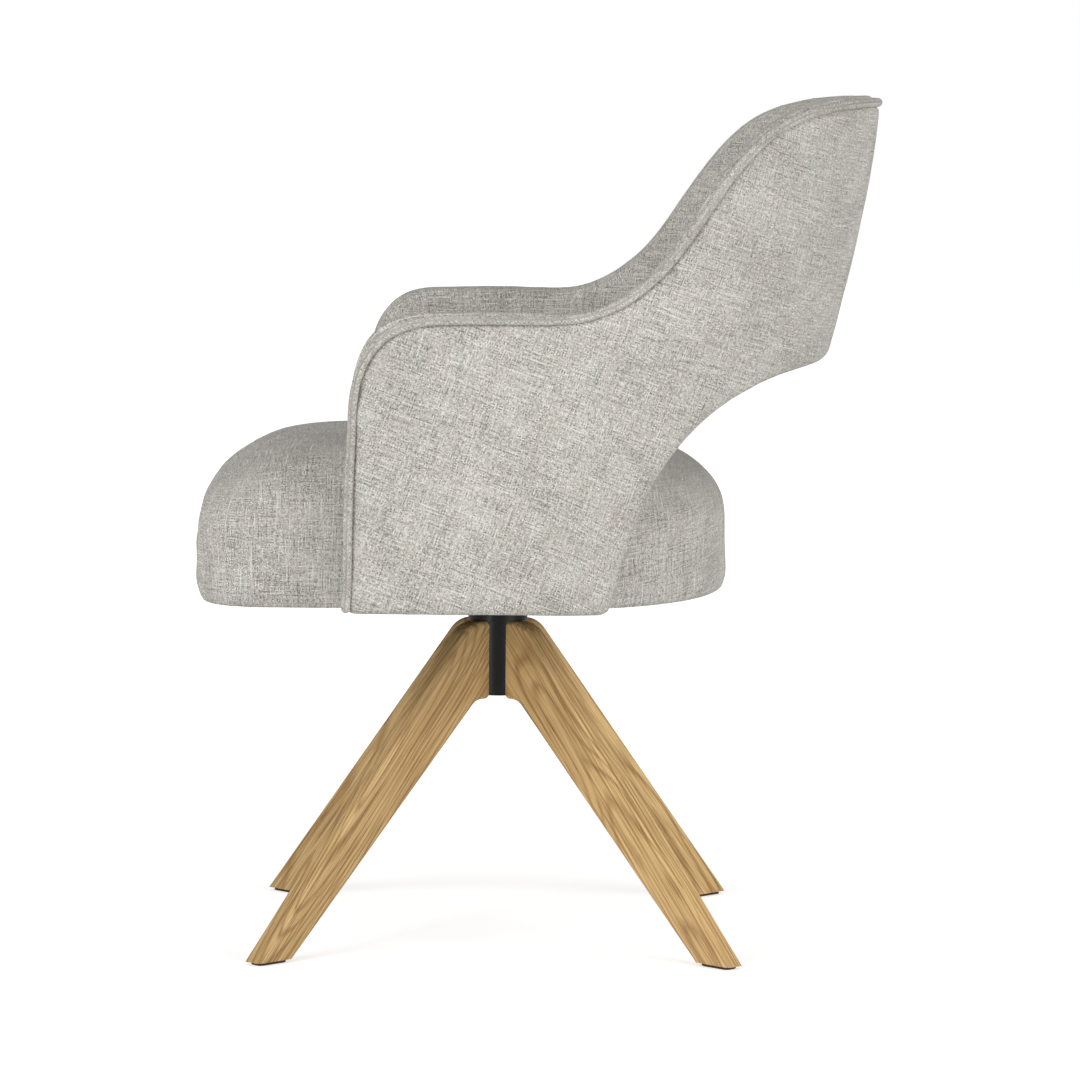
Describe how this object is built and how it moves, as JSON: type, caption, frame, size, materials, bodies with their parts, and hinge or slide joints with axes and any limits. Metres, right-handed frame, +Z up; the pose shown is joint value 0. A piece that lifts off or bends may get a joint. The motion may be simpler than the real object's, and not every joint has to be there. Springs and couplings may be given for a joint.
{
  "type": "swivel dining chair",
  "caption": "Upholstered dining chair: a padded seat and a one-piece wrap-round back with arms turn on a splayed wooden leg base.",
  "frame": {"origin": "on the floor under the middle of the chair's box; the swivel axis stands 40 mm in front of it", "axes": "+Z up, -Y towards the sitter's knees (the front), +X towards the sitter's left"},
  "size_m": [0.596, 0.6596, 0.8199],
  "materials": {
    "oak": "oiled oak, satin",
    "black_steel": "black powder coat, satin",
    "glide_plastic": "dark brown felt-faced plastic, matte",
    "bush_plastic": "acetal, matte",
    "plywood": "birch plywood, raw",
    "timber": "beech, raw",
    "foam": "polyurethane foam",
    "dust_cloth": "black non-woven cloth",
    "woven_cloth": "warm grey melange weave, matte",
    "piping_cloth": "piping in the same weave, matte",
    "zinc_steel": "zinc plated"
  },
  "bodies": {
    "base": {"centre_tube": "black_steel", "hub_flange": "black_steel", "hub_tongues": "black_steel", "leg_front_left": "oak", "leg_front_right": "oak", "leg_rear_left": "oak", "leg_rear_right": "oak", "leg_screws": "zinc_steel", "glide_front_left": "glide_plastic", "glide_front_right": "glide_plastic", "glide_rear_left": "glide_plastic", "glide_rear_right": "glide_plastic", "glide_pins": "zinc_steel", "upper_bush": "bush_plastic", "lower_bush": "bush_plastic", "thrust_washer": "bush_plastic"},
    "seat": {"spindle": "zinc_steel", "retaining_washer": "zinc_steel", "circlip": "zinc_steel", "swivel_plate": "black_steel", "plate_bolts": "zinc_steel", "seat_tee_nuts": "zinc_steel", "seat_board": "plywood", "side_rail_left": "timber", "side_rail_right": "timber", "rail_screws": "zinc_steel", "seat_foam": "foam", "seat_cover": "woven_cloth", "dust_cover": "dust_cloth", "back_core": "plywood", "inner_padding": "woven_cloth", "outer_panel": "woven_cloth", "piping": "piping_cloth", "arm_block_left": "timber", "arm_block_right": "timber", "arm_bolts": "zinc_steel", "arm_tee_nuts": "zinc_steel"}
  },
  "joints": [
    {"name": "seat_swivel", "type": "hinge", "parent": "base", "child": "seat", "pos_m": [0, -0.04, 0.3], "axis": [0, 0, 1], "continuous": true}
  ]
}
